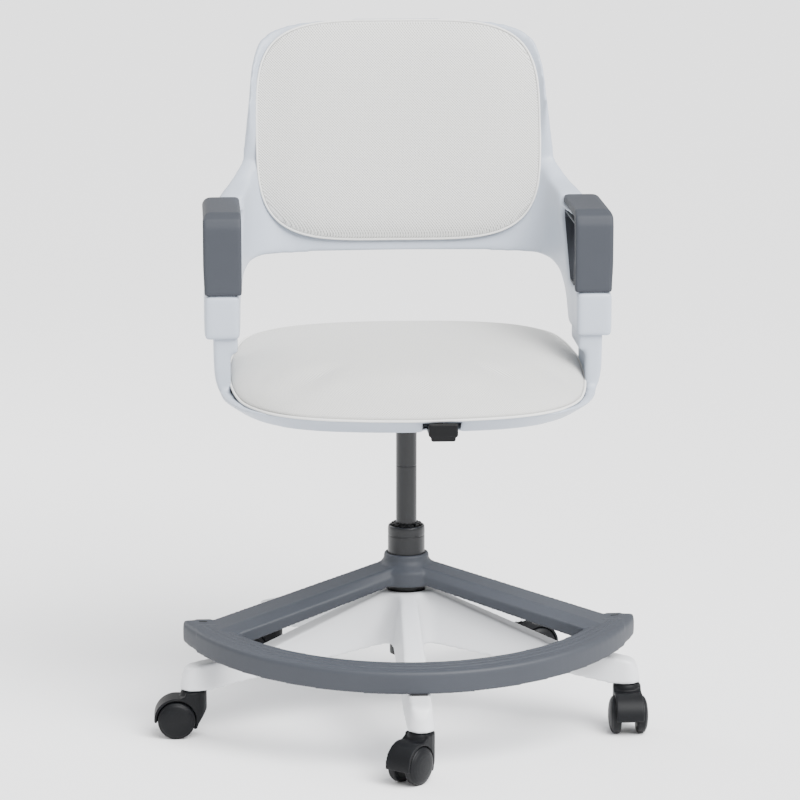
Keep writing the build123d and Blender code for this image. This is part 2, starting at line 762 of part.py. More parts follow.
def back_layer(near, far, bulge):
    """Plan of a curved layer in front of the frame's inner face, right across."""
    def across(offset, drop):
        half = [(x, y + drop * (x / 198) ** 2) for x, y in back_curve(offset)]
        return [(-x, y) for x, y in reversed(half[1:])] + half

    rear, front = across(-near, 0), across(-far, bulge)
    edges = Spline(*rear) + Line(rear[-1], front[-1]) + Spline(*reversed(front)) + Line(front[0], rear[0])
    return make_face(edges)


def back_pan():
    layer = leaning(back_layer(pan_gap, pan_gap + pan_thick, 0), back_bottom, back_top)
    return layer & cushion_prism(10)


def back_cushion():
    layer = leaning(back_layer(pan_thick + 2 * pan_gap, 32, 14), back_bottom - 5, back_top + 5)
    return layer & cushion_prism(0)


# --------------------------------------------------------------------- files

save("star_base", star_base())
save("lift_outer_tube", lift_outer_tube())
save("lift_guide_bushing", lift_guide_bushing())
save("thrust_bearing", thrust_bearing())
save("piston_rod", piston_rod())
save("rod_clip", rod_clip())
save("lift_tube", lift_tube())
save("valve_button", valve_button())
save("footrest", footrest())
save("footrest_block", footrest_block())
for leg, (direction, trail_way) in casters.items():
    angle = math.radians(direction)
    spot = Pos(leg_radius * math.cos(angle), leg_radius * math.sin(angle), 0)
    for piece, shape in caster_pieces().items():
        save(f"caster_{leg}_{piece}", spot * Rot(0, 0, trail_way + 90) * shape)
save("seat_shell", seat_shell())
save("seat_pan", seat_pan())
save("seat_cushion", seat_cushion())
save("mechanism_plate", mechanism_plate())
save("plate_bolts", plate_bolts())
save("taper_socket", taper_socket())
save("lever_pivot_pin", lever_pivot_pin())
save("height_lever", height_lever())
save("lever_paddle", lever_paddle())
save("back_frame", back_frame())
save("back_pan", back_pan())
save("back_cushion", back_cushion())
save("arm_screws", Compound(children=arm_screws(0)))
for name, side in (("left", -1), ("right", 1)):
    save(f"arm_pad_{name}", arm_pad(side))
    save(f"loop_liner_{name}", loop_liner(side))
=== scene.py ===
import bpy
import bisect
import bmesh
import json
import math
from mathutils import Matrix, Vector
from mathutils.bvhtree import BVHTree
from mathutils.kdtree import KDTree

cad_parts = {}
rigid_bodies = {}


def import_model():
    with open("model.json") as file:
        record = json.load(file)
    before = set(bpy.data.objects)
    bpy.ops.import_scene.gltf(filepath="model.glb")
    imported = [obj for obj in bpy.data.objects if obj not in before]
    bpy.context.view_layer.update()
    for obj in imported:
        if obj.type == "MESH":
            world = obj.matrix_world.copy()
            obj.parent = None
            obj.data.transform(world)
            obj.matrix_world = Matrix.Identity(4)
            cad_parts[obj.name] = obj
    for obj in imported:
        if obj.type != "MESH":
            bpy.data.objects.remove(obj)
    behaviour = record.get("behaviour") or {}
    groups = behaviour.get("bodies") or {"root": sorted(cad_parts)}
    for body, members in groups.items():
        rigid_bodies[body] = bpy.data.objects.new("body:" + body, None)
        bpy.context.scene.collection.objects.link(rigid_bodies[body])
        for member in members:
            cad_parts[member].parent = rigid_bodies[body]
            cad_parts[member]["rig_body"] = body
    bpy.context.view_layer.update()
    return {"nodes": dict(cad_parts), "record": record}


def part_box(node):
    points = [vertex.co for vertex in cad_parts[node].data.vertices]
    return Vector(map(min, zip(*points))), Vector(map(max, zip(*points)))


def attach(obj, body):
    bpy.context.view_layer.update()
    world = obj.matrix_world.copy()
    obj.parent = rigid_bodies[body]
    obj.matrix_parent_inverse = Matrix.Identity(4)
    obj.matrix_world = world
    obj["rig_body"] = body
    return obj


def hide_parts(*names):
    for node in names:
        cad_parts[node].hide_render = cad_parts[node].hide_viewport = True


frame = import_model()
nodes = frame["nodes"]
record = frame["record"]
print("frame loaded:", len(nodes), "nodes")

mm = 0.001
lean = math.radians(14)


def meshPiece(name, bm, body, material, replaced=()):
    mesh = bpy.data.meshes.new(name)
    bm.to_mesh(mesh)
    bm.free()
    for face in mesh.polygons:
        face.use_smooth = True
    return placePiece(name, mesh, body, material, replaced)


def placePiece(name, mesh, body, material, replaced=()):
    piece = bpy.data.objects.new(name, mesh)
    bpy.context.scene.collection.objects.link(piece)
    mesh.materials.clear()
    mesh.materials.append(material)
    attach(piece, body)
    if replaced:
        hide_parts(*replaced)
    return piece


# the piece's mesh with its modifiers worked in
def applied(piece):
    graph = bpy.context.evaluated_depsgraph_get()
    mesh = bpy.data.meshes.new_from_object(piece.evaluated_get(graph))
    old = piece.data
    piece.modifiers.clear()
    piece.data = mesh
    bpy.data.meshes.remove(old)
    return piece


# closed mesh rebuilt in even quads, with its edges rounded by smoothing
def remeshed(bm, voxel, rounds):
    mesh = bpy.data.meshes.new("work")
    bm.to_mesh(mesh)
    bm.free()
    work = bpy.data.objects.new("work", mesh)
    bpy.context.scene.collection.objects.link(work)
    remesh = work.modifiers.new("even", "REMESH")
    remesh.mode = "VOXEL"
    remesh.voxel_size = voxel * mm
    applied(work)
    out = bmesh.new()
    out.from_mesh(work.data)
    old = work.data
    bpy.data.objects.remove(work)
    bpy.data.meshes.remove(old)
    for _ in range(rounds):
        bmesh.ops.smooth_vert(out, verts=out.verts, factor=0.5,
                              use_axis_x=True, use_axis_y=True, use_axis_z=True)
    return out


# merged copy of CAD nodes
def nodeCopy(*names):
    bm = bmesh.new()
    for name in names:
        bm.from_mesh(nodes[name].data)
    bmesh.ops.remove_doubles(bm, verts=bm.verts, dist=1e-5)
    return bm


# the profile with extra points beside the corners of its long stretches, so they shade flat
def supported(profile, near=0.6):
    out = [profile[0]]
    for (r0, z0), (r1, z1) in zip(profile, profile[1:]):
        length = math.hypot(r1 - r0, z1 - z0)
        if length > 4 * near:
            for share in (near / length, 1 - near / length):
                out.append((r0 + (r1 - r0) * share, z0 + (z1 - z0) * share))
        out.append((r1, z1))
    return out


# closed turning of (radius, height) points in millimetres about the upright axis
def turnedShape(profile, steps=64):
    bm = bmesh.new()
    verts = [bm.verts.new((r * mm, 0, z * mm)) for r, z in supported(profile)]
    edges = [bm.edges.new((verts[i], verts[i + 1])) for i in range(len(verts) - 1)]
    bmesh.ops.spin(bm, geom=verts + edges, cent=(0, 0, 0), axis=(0, 0, 1),
                   angle=2 * math.pi, steps=steps, use_merge=True)
    bmesh.ops.remove_doubles(bm, verts=bm.verts, dist=1e-6)
    bmesh.ops.recalc_face_normals(bm, faces=bm.faces)
    return bm


def bevelSharp(bm, width, angle=35, segments=2):
    edges = [e for e in bm.edges if len(e.link_faces) == 2 and e.calc_face_angle(0) > math.radians(angle)]
    bmesh.ops.bevel(bm, geom=edges, offset=width * mm, offset_type="OFFSET", segments=segments,
                    profile=0.5, affect="EDGES", clamp_overlap=True, material=-1)
    return bm


def nodeTree(name):
    material = bpy.data.materials.new(name)
    material.use_nodes = True
    tree = material.node_tree
    shader = tree.nodes["Principled BSDF"]
    coords = tree.nodes.new("ShaderNodeTexCoord")
    return material, tree, shader, coords


def colourRamp(tree, source, low, high, start=0.35, end=0.65):
    ramp = tree.nodes.new("ShaderNodeValToRGB")
    ramp.color_ramp.elements[0].position = start
    ramp.color_ramp.elements[1].position = end
    ramp.color_ramp.elements[0].color = (*low, 1)
    ramp.color_ramp.elements[1].color = (*high, 1)
    tree.links.new(source, ramp.inputs["Fac"])
    return ramp.outputs["Color"]


def noiseField(tree, coords, scale, detail=4, roughness=0.55):
    noise = tree.nodes.new("ShaderNodeTexNoise")
    noise.inputs["Scale"].default_value = scale
    noise.inputs["Detail"].default_value = detail
    noise.inputs["Roughness"].default_value = roughness
    tree.links.new(coords.outputs["Object"], noise.inputs["Vector"])
    return noise.outputs["Fac"]


# moulded plastic: faint cloudy tone, fine spark-eroded grain, uneven gloss
def mouldedPlastic(name, colour, roughness, grain, depth, spread=0.03, coat=0.0, gleam=0.5):
    material, tree, shader, coords = nodeTree(name)
    cloud = noiseField(tree, coords, 9, 3)
    low = [c * (1 - spread) for c in colour]
    high = [min(1, c * (1 + spread)) for c in colour]
    tree.links.new(colourRamp(tree, cloud, low, high), shader.inputs["Base Color"])
    fine = noiseField(tree, coords, grain, 5, 0.6)
    gloss = tree.nodes.new("ShaderNodeMapRange")
    gloss.inputs["To Min"].default_value = roughness - 0.05
    gloss.inputs["To Max"].default_value = roughness + 0.07
    tree.links.new(fine, gloss.inputs["Value"])
    tree.links.new(gloss.outputs["Result"], shader.inputs["Roughness"])
    bump = tree.nodes.new("ShaderNodeBump")
    bump.inputs["Strength"].default_value = depth
    bump.inputs["Distance"].default_value = 0.0004
    tree.links.new(fine, bump.inputs["Height"])
    tree.links.new(bump.outputs["Normal"], shader.inputs["Normal"])
    shader.inputs["Specular IOR Level"].default_value = gleam
    shader.inputs["Coat Weight"].default_value = coat
    shader.inputs["Coat Roughness"].default_value = 0.25
    return material


# sprayed or turned metal: orange-peel bump, cloudy tone and uneven gloss
def paintedSteel(name, colour, roughness, metallic=0.0):
    material, tree, shader, coords = nodeTree(name)
    peel = noiseField(tree, coords, 380, 3)
    cloud = noiseField(tree, coords, 25, 4)
    low = [c * 0.9 for c in colour]
    high = [min(1, c * 1.12) for c in colour]
    tree.links.new(colourRamp(tree, cloud, low, high), shader.inputs["Base Color"])
    gloss = tree.nodes.new("ShaderNodeMapRange")
    gloss.inputs["To Min"].default_value = roughness - 0.05
    gloss.inputs["To Max"].default_value = roughness + 0.06
    tree.links.new(cloud, gloss.inputs["Value"])
    tree.links.new(gloss.outputs["Result"], shader.inputs["Roughness"])
    bump = tree.nodes.new("ShaderNodeBump")
    bump.inputs["Strength"].default_value = 0.12
    bump.inputs["Distance"].default_value = 0.0003
    tree.links.new(peel, bump.inputs["Height"])
    tree.links.new(bump.outputs["Normal"], shader.inputs["Normal"])
    shader.inputs["Metallic"].default_value = metallic
    return material


weave = {
    "pitch": 2.6,            # millimetres between diagonal ribs
    "thread": (0.68, 0.68, 0.66),
    "gap": (0.33, 0.33, 0.32),
    "bump": 0.7,
}


# open diagonal weave, laid out by the cloth's own flattened coordinates
def wovenMesh(name):
    material, tree, shader, coords = nodeTree(name)
    laid = tree.nodes.new("ShaderNodeAttribute")
    laid.attribute_name = "cloth"
    waves = []
    for turn in (1, -1):
        split = tree.nodes.new("ShaderNodeSeparateXYZ")
        tree.links.new(laid.outputs["Vector"], split.inputs[0])
        along = tree.nodes.new("ShaderNodeMath")
        along.operation = "MULTIPLY_ADD"
        along.inputs[1].default_value = turn
        tree.links.new(split.outputs["Y"], along.inputs[0])
        tree.links.new(split.outputs["X"], along.inputs[2])
        angle = tree.nodes.new("ShaderNodeMath")
        angle.operation = "MULTIPLY"
        angle.inputs[1].default_value = 2 * math.pi / (weave["pitch"] * mm * math.sqrt(2))
        tree.links.new(along.outputs[0], angle.inputs[0])
        sine = tree.nodes.new("ShaderNodeMath")
        sine.operation = "SINE"
        tree.links.new(angle.outputs[0], sine.inputs[0])
        waves.append(sine.outputs[0])
    # ribs one way stand higher than the threads across them
    cross = tree.nodes.new("ShaderNodeMath")
    cross.operation = "MULTIPLY_ADD"
    cross.inputs[1].default_value = 0.55
    tree.links.new(waves[1], cross.inputs[0])
    tree.links.new(waves[0], cross.inputs[2])
    level = tree.nodes.new("ShaderNodeMapRange")
    level.inputs["From Min"].default_value = -1.55
    level.inputs["From Max"].default_value = 1.55
    tree.links.new(cross.outputs[0], level.inputs["Value"])
    fuzz = noiseField(tree, coords, 900, 3, 0.7)
    mixed = tree.nodes.new("ShaderNodeMath")
    mixed.operation = "MULTIPLY_ADD"
    mixed.inputs[1].default_value = 0.14
    tree.links.new(fuzz, mixed.inputs[0])
    tree.links.new(level.outputs["Result"], mixed.inputs[2])
    cloth = colourRamp(tree, mixed.outputs[0], weave["gap"], weave["thread"], 0.18, 0.62)
    tree.links.new(cloth, shader.inputs["Base Color"])
    bump = tree.nodes.new("ShaderNodeBump")
    bump.inputs["Strength"].default_value = weave["bump"]
    bump.inputs["Distance"].default_value = 0.0006
    tree.links.new(mixed.outputs[0], bump.inputs["Height"])
    tree.links.new(bump.outputs["Normal"], shader.inputs["Normal"])
    shader.inputs["Specular IOR Level"].default_value = 0.3
    shader.inputs["Roughness"].default_value = 0.9
    shader.inputs["Sheen Weight"].default_value = 0.35
    shader.inputs["Sheen Roughness"].default_value = 0.5
    return material


finishes = {
    "base_plastic": mouldedPlastic("whiteNylon", (0.66, 0.67, 0.69), 0.38, 700, 0.10, 0.012, 0.15),
    "shell_plastic": mouldedPlastic("paleBlueMoulding", (0.41, 0.455, 0.53), 0.42, 800, 0.12, 0.015, 0.1),
    "grey_plastic": mouldedPlastic("slateMoulding", (0.036, 0.040, 0.049), 0.52, 900, 0.22, 0.03, 0, 0.3),
    "pad_grey": mouldedPlastic("slateSoftTouch", (0.035, 0.039, 0.048), 0.60, 1100, 0.28, 0.03, 0, 0.28),
    "black_plastic": mouldedPlastic(
        "blackMoulding", (0.0035, 0.0037, 0.0043), 0.46, 900, 0.18, 0.05, 0, 0.16),
    "caster_plastic": mouldedPlastic("casterNylon", (0.004, 0.0044, 0.0054), 0.48, 900, 0.2, 0.05, 0, 0.16),
    "wheel_plastic": mouldedPlastic("wheelNylon", (0.0042, 0.0046, 0.0056), 0.44, 900, 0.2, 0.05, 0, 0.16),
    "black_rubber": mouldedPlastic("bumperRubber", (0.016, 0.016, 0.018), 0.7, 600, 0.3, 0.06),
    # the hidden pan board's grey is set light so the shaded gaps beside the cushions look lit: painted
    # light in place of their shade
    "pan_board": mouldedPlastic("panBoard", (0.30, 0.31, 0.33), 0.6, 500, 0.2, 0.05),
    "lift_paint": paintedSteel("liftPaint", (0.006, 0.0066, 0.008), 0.36, 0.2),
    "steel": paintedSteel("brightSteel", (0.55, 0.56, 0.58), 0.3, 1.0),
    "seat_fabric": wovenMesh("seatWeave"),
    "back_fabric": wovenMesh("backWeave"),
}
pipingCloth = mouldedPlastic("pipingCloth", (0.70, 0.70, 0.685), 0.75, 2200, 0.5, 0.02)

slotOf = {part["node"]: part["material_slot"] for part in record["subparts"]}
for name, node in nodes.items():
    node.data.materials.clear()
    node.data.materials.append(finishes[slotOf[name]])
print("materials assigned")


mouldings = {
    # node: voxel in millimetres, rounds of smoothing
    "star_base": (2.4, 5),
    "footrest": (1.7, 3),
    "seat_shell": (2.6, 12),
    "back_frame": (2.8, 16),
    "arm_pad_left": (1.6, 12),
    "arm_pad_right": (1.6, 12),
}
tips = {"from": 285, "rounds": 26}
for name, (voxel, rounds) in mouldings.items():
    soft = remeshed(nodeCopy(name), voxel, rounds)
    if name == "footrest":
        # the two ends are rounded more than the rest
        for _ in range(tips["rounds"]):
            ends = [v for v in soft.verts if abs(v.co.x) > tips["from"] * mm]
            bmesh.ops.smooth_vert(soft, verts=ends, factor=0.5,
                                  use_axis_x=True, use_axis_y=True, use_axis_z=True)
    meshPiece(name + "_moulded", soft, nodes[name]["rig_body"], finishes[slotOf[name]], [name])
    print("moulded", name)


grip = {
    "centreBack": 45, "height": 155.6, "slope": 4.65, "radii": (291, 299.5, 308),
    "width": 5.4, "rise": 1.7, "sink": 2.4, "tipDepth": -84, "taper": 0.05, "sides": 12, "steps": 90,
}


# moves work drawn on a flat rim to the rim's sloping top
def onRim(bm):
    tilt = Matrix.Rotation(math.radians(grip["slope"]), 4, "X")
    bmesh.ops.transform(bm, matrix=Matrix.Translation((0, 0, grip["height"] * mm)) @ tilt, verts=bm.verts)


def ridge(radius):
    bm = bmesh.new()
    reachDown = grip["centreBack"] - grip["tipDepth"]
    half = math.acos(reachDown / radius)
    start = -math.pi / 2 - half
    section = []
    for k in range(grip["sides"]):
        a = 2 * math.pi * k / grip["sides"]
        out = grip["width"] / 2 * math.cos(a)
        up = (grip["rise"] if math.sin(a) > 0 else grip["sink"]) * math.sin(a)
        r = radius + out
        place = (r * math.cos(start), r * math.sin(start) + grip["centreBack"], up)
        section.append(bm.verts.new([c * mm for c in place]))
    face = bm.faces.new(section)
    bmesh.ops.spin(bm, geom=[face, *face.edges, *face.verts], cent=(0, grip["centreBack"] * mm, 0),
                   axis=(0, 0, 1), angle=2 * half, steps=grip["steps"])
    bmesh.ops.remove_doubles(bm, verts=bm.verts, dist=1e-6)
    bmesh.ops.recalc_face_normals(bm, faces=bm.faces)
    for v in bm.verts:
        bearing = abs(math.atan2(v.co.x, grip["centreBack"] * mm - v.co.y))
        v.co.z -= grip["rise"] * mm * (1 - min(1.0, (half - bearing) / grip["taper"])) ** 2
    onRim(bm)
    return bm


for k, radius in enumerate(grip["radii"]):
    meshPiece(f"grip_ridge_{k + 1}", ridge(radius), "base", finishes["grey_plastic"])

for side in (-1, 1):
    bm = bmesh.new()
    place = Matrix.Translation((side * 276 * mm, -71 * mm, 0.1 * mm)) @ Matrix.Rotation(side * 0.25, 4, "Z")
    bmesh.ops.create_cube(bm, size=1, matrix=place @ Matrix.Diagonal((0.011, 0.0024, 0.0016, 1)))
    bevelSharp(bm, 0.5)
    onRim(bm)
    name = "end_mark_left" if side < 0 else "end_mark_right"
    meshPiece(name, bm, "base", finishes["black_rubber"])
print("footrest grip made")


legs = ("front", "right", "rear_right", "rear_left", "left")
wheelShape = {"radius": 25, "width": 16}


# half section of one wheel, from the inner face round the tread to the domed disc
def wheelProfile():
    r, w = wheelShape["radius"], wheelShape["width"]
    inner = [(0.2, 0), (r - 5, 0), (r - 4.6, 0.6), (r - 1.6, 0.6), (r - 0.4, 1.2), (r, 2.6)]
    tread = [(r, 6), (r, 9), (r - 0.7, 10.8), (r - 2.2, 12)]
    face = [(r - 3.0, 12.1), (r - 3.3, 12.6), (r - 5, 13.4)]
    dome = [(r - 8, 14.4), (r - 13, 15.3), (6, w - 0.2), (0.01, w)]
    return inner + tread + face + dome


for leg in legs:
    for side in ("left", "right"):
        name = f"caster_{leg}_wheel_{side}"
        low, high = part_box(name)
        centre = (low + high) / 2
        axleLow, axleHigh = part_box(f"caster_{leg}_axle")
        hub = (axleLow + axleHigh) / 2
        outward = (centre - hub)
        outward.z = 0
        reachOut = outward.length
        outward.normalize()
        bm = turnedShape(wheelProfile(), steps=56)
        turn = Vector((0, 0, 1)).rotation_difference(outward).to_matrix().to_4x4()
        start = hub + outward * (reachOut - wheelShape["width"] / 2 * mm)
        bmesh.ops.transform(bm, matrix=Matrix.Translation(start) @ turn, verts=bm.verts)
        meshPiece(f"wheel_{leg}_{side}_disc", bm, f"wheel_{leg}_{side}", finishes["wheel_plastic"],
                  [name])
    hood = remeshed(nodeCopy(f"caster_{leg}_hood"), 1.0, 5)
    meshPiece(f"hood_{leg}", hood, f"caster_{leg}", finishes["caster_plastic"],
              [f"caster_{leg}_hood"])
print("casters made")


lift = {"tube": 14, "outer": 25, "collarTop": 263, "seam": 345}


def liftTop():
    r, top = lift["outer"], lift["collarTop"]
    profile = [(21, top - 20), (21, top - 2), (21.6, top - 1), (r - 2.6, top - 0.2), (r - 1.2, top - 0.8),
               (r - 0.4, top - 2.2), (r, top - 5), (r, top - 13), (r - 0.35, top - 13.6),
               (r - 0.35, top - 14.4), (r, top - 15), (r, 178), (r - 2.6, 84), (r - 8, 82), (5, 82),
               (5, 86), (20, 86), (20, top - 20), (21, top - 20)]
    return turnedShape(profile, steps=72)


meshPiece("lift_outer_skin", liftTop(), "base", finishes["lift_paint"],
          ["lift_outer_tube"])
low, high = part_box("lift_tube")
tubeTop, tubeLow = high.z / mm, low.z / mm
r = lift["tube"]
seam = lift["seam"]
tubeProfile = [(0.01, tubeTop), (r - 0.8, tubeTop), (r - 0.5, tubeTop - 0.5), (r, 430), (r, seam + 0.8),
               (r - 0.3, seam + 0.4), (r - 0.3, seam - 0.4), (r, seam - 0.8),
               (r, tubeLow + 1), (r - 1, tubeLow), (0.01, tubeLow)]
meshPiece("lift_tube_skin", turnedShape(tubeProfile), "seat", finishes["lift_paint"],
          ["lift_tube"])
print("lift made")


# closed curve through the points, as a list of many
def smoothLoop(points, steps=24):
    out = []
    count = len(points)
    for k in range(count):
        a, b, c, d = (Vector(points[(k + i) % count]) for i in (-1, 0, 1, 2))
        for j in range(steps):
            t = j / steps
            out.append(0.5 * (2 * b + (c - a) * t + (2 * a - 5 * b + 4 * c - d) * t ** 2
                              + (3 * b - a - 3 * c + d) * t ** 3))
    return out


# distance from the centre to a rounded rectangle's edge in one direction
def superRadius(angle, a, b, n):
    c, s = abs(math.cos(angle)) / a, abs(math.sin(angle)) / b
    return (c ** n + s ** n) ** (-1 / n)


seatPad = {
    "halfWidth": 237, "front": -212, "rear": 164, "midY": -20,
    # half of the plan of the seam, front to rear
    "plan": ((0, -211.5), (109.5, -202.5), (171, -181.5), (209, -145.5), (229, -91.5), (237, -22),
             (233, 50), (206, 134), (142, 158), (0, 164)),
    "crownFront": 490, "crownRear": 520, "sideFall": 7, "puff": 0.005,
    # height of the seam by depth, front to rear
    "seam": ((-212, 448.5), (-195, 450.5), (-150, 454.5), (-110, 457), (-40, 467), (0, 475),
             (75, 489), (130, 498), (164, 503)),
}


plan = list(seatPad["plan"])
seatLoop = smoothLoop(plan + [(-x, y) for x, y in reversed(plan[1:-1])])
seatRays = sorted((math.atan2(p.y - seatPad["midY"], p.x), (p.x ** 2 + (p.y - seatPad["midY"]) ** 2) ** 0.5)
                  for p in seatLoop)


# plan of the seam round the seat cushion
def seatEdge(angle):
    angle = math.atan2(math.sin(angle), math.cos(angle))
    k = bisect.bisect([ray[0] for ray in seatRays], angle) % len(seatRays)
    (a0, r0), (a1, r1) = seatRays[k - 1], seatRays[k]
    turn = 2 * math.pi
    r = r0 + (r1 - r0) * (((angle - a0) % turn) / max(1e-9, (a1 - a0) % turn))
    return r * math.cos(angle), r * math.sin(angle) + seatPad["midY"]


def seatSeamHeight(y):
    rows = seatPad["seam"]
    for (y0, z0), (y1, z1) in zip(rows, rows[1:]):
        if y <= y1:
            return z0 + (z1 - z0) * max(0.0, (y - y0) / (y1 - y0))
    return rows[-1][1]


# a point of the seat cushion: direction, share of the way to the seam, upper or lower skin
def seatPoint(angle, f, top):
    pad = seatPad
    ex, ey = seatEdge(angle)
    x, y = ex * f, pad["midY"] + (ey - pad["midY"]) * f
    seam = seatSeamHeight(ey)
    if top:
        t = max(0, (y - pad["front"]) / (pad["rear"] - pad["front"]))
        crown = pad["crownFront"] + (pad["crownRear"] - pad["crownFront"]) * t ** 0.8
        crown -= pad["sideFall"] * (x / pad["halfWidth"]) ** 2
        z = seam + (crown - seam) * max(0, 1 - f ** 5.5) ** 0.45
    else:
        floor = 470 + 0.03 * y
        low = seam - 1.5 * (1 - f ** 200)
        z = floor + (low - floor) * f ** 26
    return Vector((x, y, z)) * mm


backPad = {"halfWidth": 194.5, "halfHeight": 151, "midZ": 775.5, "corner": 4.2, "crown": 27, "rim": 5,
           "puff": 0.004}


# depth of the back frame's inner face
def backSurface(x, z):
    curve = 5 * (abs(x) / 165) ** 2 + 10 * max(0, (abs(x) - 165) / 33) ** 2
    return 150 + (z - 610) * math.tan(lean) - curve


def backPoint(angle, f, front):
    pad = backPad
    r = superRadius(angle, pad["halfWidth"], pad["halfHeight"], pad["corner"])
    x, v = r * math.cos(angle) * f, r * math.sin(angle) * f
    share = v / pad["halfHeight"]
    x *= 1 - 0.02 * max(0, share) ** 2 - 0.03 * max(0, -share) ** 2
    z = pad["midZ"] + v * math.cos(lean)
    y = backSurface(x, z)
    if front:
        y -= pad["rim"] + (pad["crown"] - pad["rim"]) * max(0, 1 - f ** 4.5) ** 0.5
    else:
        y -= pad["rim"] - (pad["rim"] - 6.6) * (1 - f ** 10)
    return Vector((x, y, z)) * mm


hold = {"near": 0.0015, "rounds": 4}
blow = {"pressure": 4, "mass": 0.3, "stretch": 12, "bend": 4, "frames": 20}


# a ball drawn out into a cushion: its equator is the seam
def padForm(pointAt):
    bm = bmesh.new()
    bmesh.ops.create_uvsphere(bm, u_segments=128, v_segments=44, radius=1)
    for v in bm.verts:
        flat = math.hypot(v.co.x, v.co.y)
        f = min(1.0, flat) if flat < 0.999999 else 1.0
        angle = math.atan2(v.co.y, v.co.x)
        f = 1 - (1 - f) ** 0.75
        v.co = pointAt(angle, f, v.co.z >= 0)
    bmesh.ops.recalc_face_normals(bm, faces=bm.faces)
    return bm


# inflates the cover by a cloth simulation, held at its seam, then applies it
def puffed(name, bm, body, material, node, cap, seam):
    line = KDTree(len(seam))
    for k, p in enumerate(seam):
        line.insert(p, k)
    line.balance()
    mesh = bpy.data.meshes.new(name)
    bm.to_mesh(mesh)
    bm.free()
    for face in mesh.polygons:
        face.use_smooth = True
    piece = bpy.data.objects.new(name, mesh)
    bpy.context.scene.collection.objects.link(piece)
    rest = [v.co.copy() for v in mesh.vertices]
    held = piece.vertex_groups.new(name="seam")
    for v in mesh.vertices:
        if line.find(v.co)[2] < hold["near"]:
            held.add([v.index], 1.0, "REPLACE")
    cloth = piece.modifiers.new("cloth", "CLOTH")
    cloth.settings.use_pressure = True
    cloth.settings.uniform_pressure_force = blow["pressure"]
    cloth.settings.effector_weights.gravity = 0
    cloth.settings.quality = 5
    cloth.settings.mass = blow["mass"]
    cloth.settings.tension_stiffness = blow["stretch"]
    cloth.settings.compression_stiffness = blow["stretch"]
    cloth.settings.bending_stiffness = blow["bend"]
    cloth.settings.vertex_group_mass = "seam"
    cloth.point_cache.frame_end = blow["frames"]
    for step in range(1, blow["frames"] + 1):
        bpy.context.scene.frame_set(step)
    applied(piece)
    for v, start in zip(piece.data.vertices, rest):
        shift = v.co - start
        if shift.length > cap:
            v.co = start + shift.normalized() * cap
    bpy.context.scene.frame_set(1)
    settled = bmesh.new()
    settled.from_mesh(piece.data)
    inner = [v for v in settled.verts if line.find(v.co)[2] > hold["near"]]
    for _ in range(hold["rounds"]):
        bmesh.ops.smooth_vert(settled, verts=inner, factor=0.5,
                              use_axis_x=True, use_axis_y=True, use_axis_z=True)
    settled.to_mesh(piece.data)
    settled.free()
    piece.vertex_groups.clear()
    finer = piece.modifiers.new("finer", "SUBSURF")
    finer.levels = 1
    finer.render_levels = 1
    applied(piece)
    piece.data.materials.clear()
    piece.data.materials.append(material)
    for face in piece.data.polygons:
        face.use_smooth = True
    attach(piece, body)
    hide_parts(node)
    return piece


# flattens the cover in two directions from its middle and keeps the result on its points
def layCloth(piece, origin, across, up):
    out = across.cross(up)
    coords = piece.data.attributes.new("cloth", "FLOAT_VECTOR", "POINT")
    crown = max(v.co.dot(out) for v in piece.data.vertices)
    for v in piece.data.vertices:
        drop = crown - v.co.dot(out)
        tilt = Vector((v.normal.dot(across), v.normal.dot(up)))
        way = tilt.normalized() if tilt.length > 1e-4 else tilt
        steep = min(1.0, tilt.length)
        offset = v.co - origin
        coords.data[v.index].vector = (offset.dot(across) + way.x * drop * steep,
                                       offset.dot(up) + way.y * drop * steep, 0)


# thin corded edge along a closed seam
def pipedSeam(name, points, thick, body):
    curve = bpy.data.curves.new(name, "CURVE")
    curve.dimensions = "3D"
    curve.bevel_depth = thick * mm
    curve.bevel_resolution = 3
    spline = curve.splines.new("POLY")
    spline.points.add(len(points) - 1)
    for slotPoint, p in zip(spline.points, points):
        slotPoint.co = (*p, 1)
    spline.use_cyclic_u = True
    line = bpy.data.objects.new(name + "_line", curve)
    bpy.context.scene.collection.objects.link(line)
    mesh = bpy.data.meshes.new_from_object(line)
    bpy.data.objects.remove(line)
    for face in mesh.polygons:
        face.use_smooth = True
    return placePiece(name, mesh, body, pipingCloth)


# thin closed band between two loops of points
def flatBand(name, points, inner, body, material):
    bm = bmesh.new()
    rings = []
    for row in (points, inner):
        for fall in (0.4, 1.6):
            rings.append([bm.verts.new((p.x, p.y, p.z - fall * mm)) for p in row])
    for a, b in ((rings[0], rings[2]), (rings[2], rings[3]), (rings[3], rings[1]), (rings[1], rings[0])):
        count = len(a)
        for k in range(count):
            bm.faces.new((a[k], a[(k + 1) % count], b[(k + 1) % count], b[k]))
    bmesh.ops.recalc_face_normals(bm, faces=bm.faces)
    return meshPiece(name, bm, body, material)


angles = [2 * math.pi * k / 720 for k in range(720)]
seatSeam = [seatPoint(a, 1, False) for a in angles]
backSeam = [backPoint(a, 1, False) for a in angles]


seatCover = puffed("seat_cushion_cover", padForm(seatPoint), "seat", finishes["seat_fabric"],
                   "seat_cushion", seatPad["puff"], seatSeam)
layCloth(seatCover, Vector((0, 0, 0.45)), Vector((1, 0, 0)), Vector((0, 1, 0)))
pipedSeam("seat_piping", seatSeam, 1.7, "seat")
middle = Vector((0, seatPad["midY"] * mm, 0))
seamInner = [(p - middle) * 0.93 + middle + Vector((0, 0, 0.07 * p.z + 6 * mm)) for p in seatSeam]
flatBand("seat_seam_band", seatSeam, seamInner, "seat", pipingCloth)
